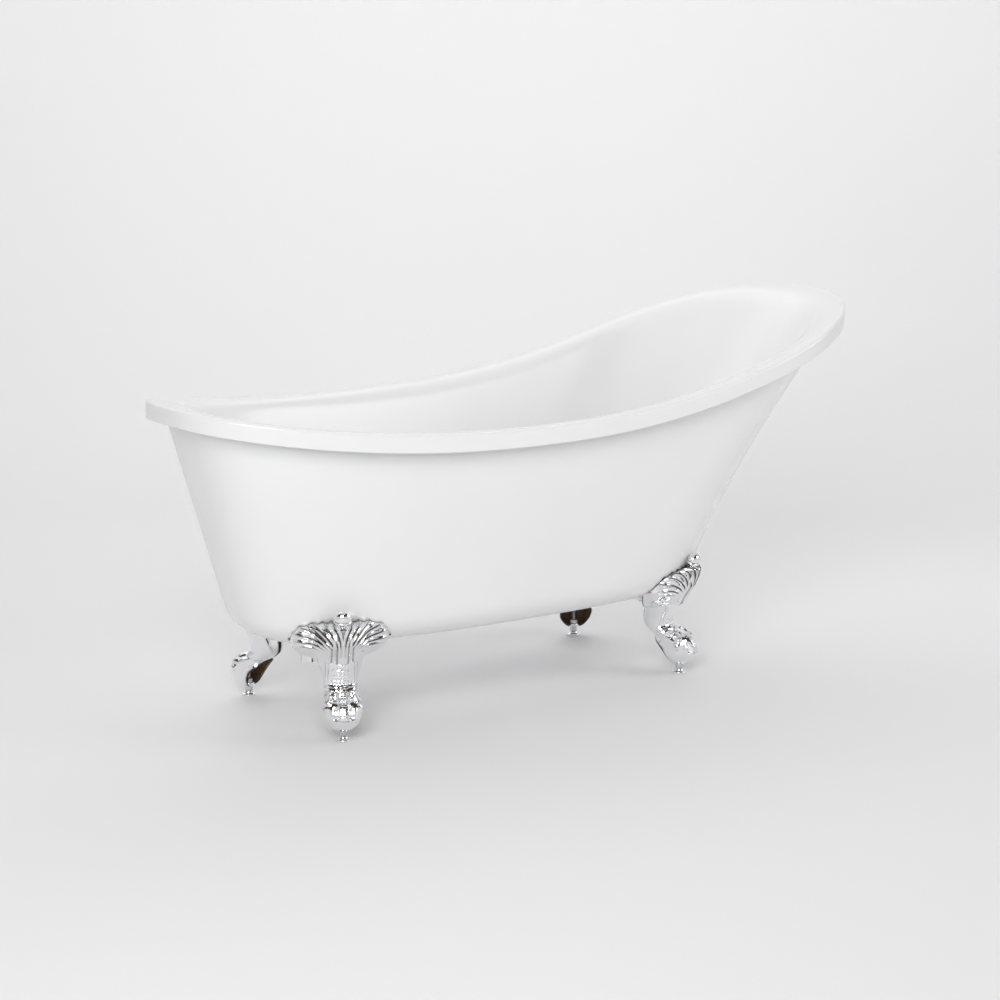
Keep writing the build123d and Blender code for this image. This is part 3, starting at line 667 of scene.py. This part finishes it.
def rounded_plate(outline_points, hole, low, high, edge):
    """Rings of a plate with rounded edges and a round hole."""
    outer = np.array(outline_points, float)
    centre = np.array(hole[:2])
    turn = np.arctan2(outer[:, 1] - centre[1], outer[:, 0] - centre[0])
    circle = centre + hole[2] * np.stack([np.cos(turn), np.sin(turn)], 1)
    inward = plan_normals(outer)
    rings = [np.column_stack([circle, np.full(len(outer), low)])]
    for angle in np.radians(np.linspace(-90, 0, 5)):
        inset, up = edge * (1 - math.cos(angle)), low + edge * (1 + math.sin(angle))
        rings.append(np.column_stack([outer + inward * inset, np.full(len(outer), up)]))
    for angle in np.radians(np.linspace(0, 90, 5)):
        inset, up = edge * (1 - math.cos(angle)), high - edge * (1 - math.sin(angle))
        rings.append(np.column_stack([outer + inward * inset, np.full(len(outer), up)]))
    rings.append(np.column_stack([circle, np.full(len(outer), high)]))
    return np.array(rings)


def make_lug(place):
    """Flat lug behind the crest that the bolt passes through."""
    angle = np.linspace(0, 2 * np.pi, 96, endpoint=False)
    plan = np.stack([-76 + 40 * power(np.cos(angle), 0.5), 30 * power(np.sin(angle), 0.5)], 1)
    rings = rounded_plate(plan, (-94.0, 0.0, 5.6), 165.0, 172.0, 1.8)
    return loop_shell(f"{place.name}_lug", place.to_frame(rings))


def make_boss(place):
    """Threaded boss at the bottom of the ball."""
    profile = [(5.3, 21), (9.5, 21)] + arc((9.5, 22.5), 1.5, -90, 0, 4)
    profile += [(11.5, 26), (13.5, 30.5), (5.3, 31)]
    return loop_shell(f"{place.name}_boss", place.to_frame(lathe_rings(profile, 48)))


def hex_ring(flats, chamfer, height, columns=96):
    """A ring of a hexagon, cut to a circle at its chamfer."""
    turn = np.linspace(0, 2 * np.pi, columns, endpoint=False)
    sector = (turn + math.pi / 6) % (math.pi / 3) - math.pi / 6
    radius = np.minimum(flats / 2 / np.cos(sector), chamfer)
    return np.stack([radius * np.cos(turn), radius * np.sin(turn), np.full(columns, height)], 1)


STEM_COLUMNS = 96
THREAD_ROOT = 4.25
THREAD_DEPTH = 0.7
THREAD_PITCH = 1.5
THREAD_STEP = 0.25


def make_stem(place):
    """Levelling screw: lower end, hexagon collar and a real helical thread."""
    turn = np.linspace(0, 2 * np.pi, STEM_COLUMNS, endpoint=False)

    def ring(radius, z):
        return np.stack([radius * np.cos(turn), radius * np.sin(turn), np.full(STEM_COLUMNS, z)], 1)

    rings = [ring(radius, z) for radius, z in ((2.5, 3.3), (4.6, 3.4), (4.9, 4.0), (4.9, 11.0))]
    for radius, z in ((7.4, 11.4), (8.3, 12.2), (8.7, 13.4), (8.7, 18.6), (8.3, 19.8), (7.4, 20.6)):
        rings.append(hex_ring(15.0, radius, z))
    for z in np.arange(20.8, 77.6, THREAD_STEP):
        phase = (z / THREAD_PITCH - turn / (2 * np.pi)) % 1
        rings.append(ring(THREAD_ROOT + THREAD_DEPTH * np.abs(2 * phase - 1), z))
    rings.append(ring(3.6, 78.0))
    return capped_tube(f"{place.name}_screw", place.to_frame(np.array(rings)))


def make_pad(place):
    """Round swivel pad with a raised socket."""
    profile = [(13.8, 0.0)] + arc((14.3, 1.2), 1.2, -90, 0, 5) + arc((14.3, 4.2), 1.2, 0, 70, 5)
    profile += [(12.0, 6.4), (10.2, 8.2)] + arc((8.3, 9.6), 1.3, 0, 90, 5)
    profile += [(5.2, 10.9), (5.2, 4.0), (4.4, 3.1)]
    return capped_tube(f"{place.name}_foot_pad", place.to_frame(lathe_rings(profile, 64)))


# ---------------------------------------------------------------- waste pieces
def make_plug_dome():
    """Domed plug with a rounded edge, over its guide stem."""
    low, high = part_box("plug")
    base = FLOOR_Z + 5.6
    top = high.z / MM
    profile = [(2.9, low.z / MM), (3.0, low.z / MM + 1), (3.0, base - 0.5), (26, base), (28.8, base)]
    profile += arc((28.8, base + 1.2), 1.2, -90, 30, 5)
    for share in np.linspace(0.05, 0.97, 14):
        turn = share * math.pi / 2
        height = base + 1.8 + (top - base - 1.8) * math.sin(turn)
        profile.append((29.6 * math.cos(turn) ** 0.7, height))
    rings = lathe_rings(profile, 72) + np.array([WASTE_X, 0, 0])
    return capped_tube("plug_dome", rings)


# ---------------------------------------------------------------- materials
# pointiness is 0.5 on flat metal and falls in hollows
DEEP_HOLLOW = 0.45
NEARLY_FLAT = 0.493
FINE_TO_BROAD = 9
COAT_ROUGHNESS = 0.1
RELIEF_DEPTH = 0.0006
# sockets of a colour Mix node
MIX_FACTOR = 0
MIX_COLOUR_A = 6
MIX_COLOUR_B = 7
MIX_COLOUR_OUT = 2


def noise(tree, scale, detail, coordinates, stretch=(1, 1, 1)):
    """A noise texture on object coordinates."""
    mapping = tree.nodes.new("ShaderNodeMapping")
    mapping.inputs["Scale"].default_value = stretch
    tree.links.new(coordinates.outputs["Object"], mapping.inputs["Vector"])
    texture = tree.nodes.new("ShaderNodeTexNoise")
    texture.inputs["Scale"].default_value = scale
    texture.inputs["Detail"].default_value = detail
    tree.links.new(mapping.outputs["Vector"], texture.inputs["Vector"])
    return texture


def ramp(tree, source, low, high):
    """A colour ramp between two colours, driven by a texture."""
    node = tree.nodes.new("ShaderNodeValToRGB")
    node.color_ramp.elements[0].position = 0.3
    node.color_ramp.elements[1].position = 0.7
    node.color_ramp.elements[0].color = (*low, 1)
    node.color_ramp.elements[1].color = (*high, 1)
    tree.links.new(source.outputs["Fac"], node.inputs["Fac"])
    return node


def ranged(tree, source, low, high):
    """A texture's value mapped to a range."""
    node = tree.nodes.new("ShaderNodeMapRange")
    node.inputs["To Min"].default_value = low
    node.inputs["To Max"].default_value = high
    tree.links.new(source.outputs["Fac"], node.inputs["Value"])
    return node


def paint_shade_in_hollows(tree, colour, shade):
    """The colour, falling to a dark painted shade in the hollows of the mesh."""
    geometry = tree.nodes.new("ShaderNodeNewGeometry")
    hollow = tree.nodes.new("ShaderNodeMapRange")
    hollow.inputs["From Min"].default_value = DEEP_HOLLOW
    hollow.inputs["From Max"].default_value = NEARLY_FLAT
    tree.links.new(geometry.outputs["Pointiness"], hollow.inputs["Value"])
    mix = tree.nodes.new("ShaderNodeMix")
    mix.data_type = "RGBA"
    mix.inputs[MIX_COLOUR_A].default_value = (*shade, 1)
    tree.links.new(hollow.outputs["Result"], mix.inputs[MIX_FACTOR])
    tree.links.new(colour.outputs["Color"], mix.inputs[MIX_COLOUR_B])
    return mix.outputs[MIX_COLOUR_OUT]


def surface(
    name, dark, light, rough, scale, metal=0.0, coat=0.0, bump=0.0, stretch=(1, 1, 1), hollows=None
):
    """A procedural surface: mottled colour, uneven roughness and fine relief."""
    material = bpy.data.materials.new(name)
    material.use_nodes = True
    tree = material.node_tree
    shader = tree.nodes["Principled BSDF"]
    coordinates = tree.nodes.new("ShaderNodeTexCoord")
    broad = noise(tree, scale, 3, coordinates, stretch)
    fine = noise(tree, scale * FINE_TO_BROAD, 5, coordinates, stretch)
    colour = ramp(tree, broad, dark, light)
    shown = colour.outputs["Color"]
    # painted shade: when a shade colour is given, the colour goes dark where the mesh is hollow
    if hollows:
        shown = paint_shade_in_hollows(tree, colour, hollows)
    tree.links.new(shown, shader.inputs["Base Color"])
    tree.links.new(ranged(tree, fine, *rough).outputs["Result"], shader.inputs["Roughness"])
    shader.inputs["Metallic"].default_value = metal
    shader.inputs["Coat Weight"].default_value = coat
    shader.inputs["Coat Roughness"].default_value = COAT_ROUGHNESS
    if bump:
        relief = tree.nodes.new("ShaderNodeBump")
        relief.inputs["Strength"].default_value = bump
        relief.inputs["Distance"].default_value = RELIEF_DEPTH
        tree.links.new(fine.outputs["Fac"], relief.inputs["Height"])
        tree.links.new(relief.outputs["Normal"], shader.inputs["Normal"])
    return material


def make_materials():
    """One material per slot of the record, and one for the insides of the castings."""
    acrylic = {"rough": (0.2, 0.26), "scale": 3.0, "coat": 0.2}
    chrome = {"rough": (0.03, 0.07), "metal": 1.0}
    # painted shade: near-black colour mixed into the chrome's grooves and hollows
    painted_groove_shade = (0.09, 0.07, 0.055)
    made = {}

    def add(name, *look, **options):
        made[name] = surface(name, *look, **options)

    add("white_acrylic", (0.82, 0.825, 0.83), (0.84, 0.845, 0.85), **acrylic)
    add("white_acrylic_skirt", (0.82, 0.825, 0.83), (0.84, 0.845, 0.85), **acrylic)
    add(
        "chrome_foot", (0.86, 0.87, 0.89), (0.93, 0.935, 0.95),
        scale=14, hollows=painted_groove_shade, **chrome,
    )
    add(
        "casting_inside", (0.20, 0.135, 0.09), (0.42, 0.31, 0.22), (0.3, 0.5), 30, 0.5, bump=0.5
    )
    add("chrome_pad", (0.84, 0.85, 0.87), (0.9, 0.91, 0.92), scale=40, **chrome)
    add("chrome_waste", (0.84, 0.85, 0.87), (0.9, 0.91, 0.92), scale=30, **chrome)
    add(
        "zinc_steel", (0.5, 0.51, 0.53), (0.72, 0.73, 0.75), (0.22, 0.38), 60, 1.0, bump=0.15
    )
    add("brass", (0.62, 0.44, 0.18), (0.78, 0.6, 0.3), (0.2, 0.35), 50, 1.0, bump=0.1)
    add("white_block", (0.72, 0.72, 0.7), (0.8, 0.8, 0.78), (0.4, 0.6), 25, bump=0.3)
    add("white_plastic", (0.7, 0.7, 0.69), (0.8, 0.8, 0.78), (0.35, 0.5), 30, bump=0.2)
    add("grey_pipe", (0.33, 0.34, 0.35), (0.42, 0.43, 0.44), (0.4, 0.55), 30, bump=0.2)
    add(
        "black_rubber", (0.015, 0.015, 0.015), (0.04, 0.04, 0.04), (0.6, 0.8), 60, bump=0.5
    )
    add("board", (0.3, 0.2, 0.11), (0.55, 0.42, 0.26), (0.6, 0.85), 45, bump=0.8)
    add(
        "bearer_wood", (0.42, 0.28, 0.15), (0.66, 0.48, 0.29), (0.55, 0.8), 12, bump=0.7,
        stretch=(1, 0.12, 1),
    )
    return made


# ---------------------------------------------------------------- studio
BACKDROP_SHADES = ((0.873, 0.875, 0.881), (0.887, 0.889, 0.895))
BACKDROP_ROUGHNESS = (0.6, 0.7)
BACKDROP_HALF_WIDTH = 7
BACKDROP_COLUMNS = 9
WORLD_STRENGTH = 0.70
SENSOR_WIDTH = 36


def make_backdrop(material):
    """Floor that sweeps up into a wall behind the bath."""
    forward = Vector(CAMERA_TARGET) - Vector(CAMERA_PLACE)
    forward.z = 0
    forward.normalize()
    side = Vector((forward.y, -forward.x, 0))
    radius, far, near, height = 1.6, 3.4, -7.0, 6.0
    line = [(near, 0.0), (-2.0, 0.0), (0.0, 0.0), (1.0, 0.0)]
    for turn in np.radians(np.linspace(0, 90, 24)):
        line.append((far - radius + radius * math.sin(turn), radius * (1 - math.cos(turn))))
    line.append((far, height))
    spread = np.linspace(-BACKDROP_HALF_WIDTH, BACKDROP_HALF_WIDTH, BACKDROP_COLUMNS)
    rows = []
    for along, up in line:
        rows.append([tuple(forward * along + side * across + Vector((0, 0, up)))
                     for across in spread])
    grid = np.array(rows) / MM
    faces = grid_faces(len(rows), BACKDROP_COLUMNS, False, False)
    backdrop = mesh_object("backdrop", grid.reshape(-1, 3), faces)
    backdrop.data.materials.append(material)


def area_light(name, place, target, size, power_watts):
    """A soft square light aimed at a point."""
    data = bpy.data.lights.new(name, "AREA")
    data.shape = "RECTANGLE"
    data.size = size
    data.size_y = size
    data.energy = power_watts
    light = bpy.data.objects.new(name, data)
    light.location = place
    light.rotation_euler = (Vector(target) - Vector(place)).to_track_quat("-Z", "Y").to_euler()
    bpy.context.scene.collection.objects.link(light)
    return light


def make_lights():
    """Large soft key from the left, a weaker fill, and lights behind, overhead and on the wall."""
    area_light("key", (-3.2, -3.4, 2.9), (0, 0, 0.4), 2.6, 139)
    area_light("fill", (3.4, -2.6, 2.2), (0, 0, 0.4), 2.4, 46)
    area_light("behind_left", (-1.5, 2.6, 3.5), (0.2, 0, 0.5), 3.8, 37)
    area_light("behind_right", (1.6, 2.2, 3.6), (0.3, 0, 0.5), 3.4, 33)
    area_light("wall_right", (1.0, 0.6, 3.6), (2.4, 2.6, 1.4), 2.4, 12)
    area_light("overhead", (-0.3, -0.6, 3.6), (0, 0, 0), 2.6, 15)


def make_world():
    """Pale surroundings with a dark warm ceiling, which the chrome shows in its grooves."""
    world = bpy.data.worlds.new("studio")
    bpy.context.scene.world = world
    world.use_nodes = True
    tree = world.node_tree
    coordinates = tree.nodes.new("ShaderNodeTexCoord")
    axes = tree.nodes.new("ShaderNodeSeparateXYZ")
    tree.links.new(coordinates.outputs["Generated"], axes.inputs["Vector"])
    shade = tree.nodes.new("ShaderNodeValToRGB")
    stops = shade.color_ramp.elements
    stops[0].position = 0.0
    stops[0].color = (0.92, 0.93, 0.95, 1)
    stops[1].position = 0.30
    stops[1].color = (0.97, 0.98, 1.0, 1)
    dark = stops.new(0.46)
    dark.color = (0.09, 0.065, 0.05, 1)
    tree.links.new(axes.outputs["Z"], shade.inputs["Fac"])
    background = tree.nodes["Background"]
    background.inputs["Strength"].default_value = WORLD_STRENGTH
    tree.links.new(shade.outputs["Color"], background.inputs["Color"])


def make_camera():
    """The photo's viewpoint."""
    data = bpy.data.cameras.new("camera")
    data.sensor_width = SENSOR_WIDTH
    data.lens = CAMERA_LENS
    camera = bpy.data.objects.new("camera", data)
    camera.location = CAMERA_PLACE
    direction = Vector(CAMERA_TARGET) - Vector(CAMERA_PLACE)
    camera.rotation_euler = direction.to_track_quat("-Z", "Y").to_euler()
    bpy.context.scene.collection.objects.link(camera)
    bpy.context.scene.camera = camera


# ---------------------------------------------------------------- assembly
def fit_piece(obj, body, slot, materials, stands_for=()):
    """Gives a piece its material, body and slot, and hides the CAD nodes it stands for."""
    obj.data.materials.append(materials[slot])
    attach(obj, body)
    if stands_for:
        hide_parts(*stands_for)


def dress_cad_nodes(materials):
    """Gives every CAD node its slot's material."""
    slots = {part["node"]: part["material_slot"] for part in frame["record"]["subparts"]}
    for name, node in frame["nodes"].items():
        node.data.materials.clear()
        node.data.materials.append(materials[slots[name]])


def build_foot(name, materials):
    """All of one foot's pieces; the thin castings are dark inside."""
    place = Place(name)
    sheets = (make_crest(place), make_leg(place))
    for piece in (*sheets, make_finial(place), make_lug(place), make_boss(place)):
        fit_piece(piece, "tub", "chrome_foot", materials, (f"{name}_foot",))
    for piece in sheets:
        piece.data.materials.append(materials["casting_inside"])
    fit_piece(make_stem(place), f"{name}_stem", "zinc_steel", materials, (f"{name}_stem",))
    fit_piece(make_pad(place), f"{name}_pad", "chrome_pad", materials, (f"{name}_pad",))


def main():
    """Builds the looks round the CAD frame."""
    materials = make_materials()
    dress_cad_nodes(materials)
    fit_piece(make_tub_shell(), "tub", "white_acrylic", materials, ("inner_shell",))
    fit_piece(make_tub_skirt(), "tub", "white_acrylic_skirt", materials, ("outer_skirt",))
    fit_piece(make_plug_dome(), "plug", "chrome_waste", materials, ("plug",))
    for name in FEET:
        build_foot(name, materials)
    make_backdrop(surface("backdrop", *BACKDROP_SHADES, BACKDROP_ROUGHNESS, 0.5))
    make_lights()
    make_world()
    make_camera()
    bpy.context.scene.view_settings.view_transform = "Standard"


main()
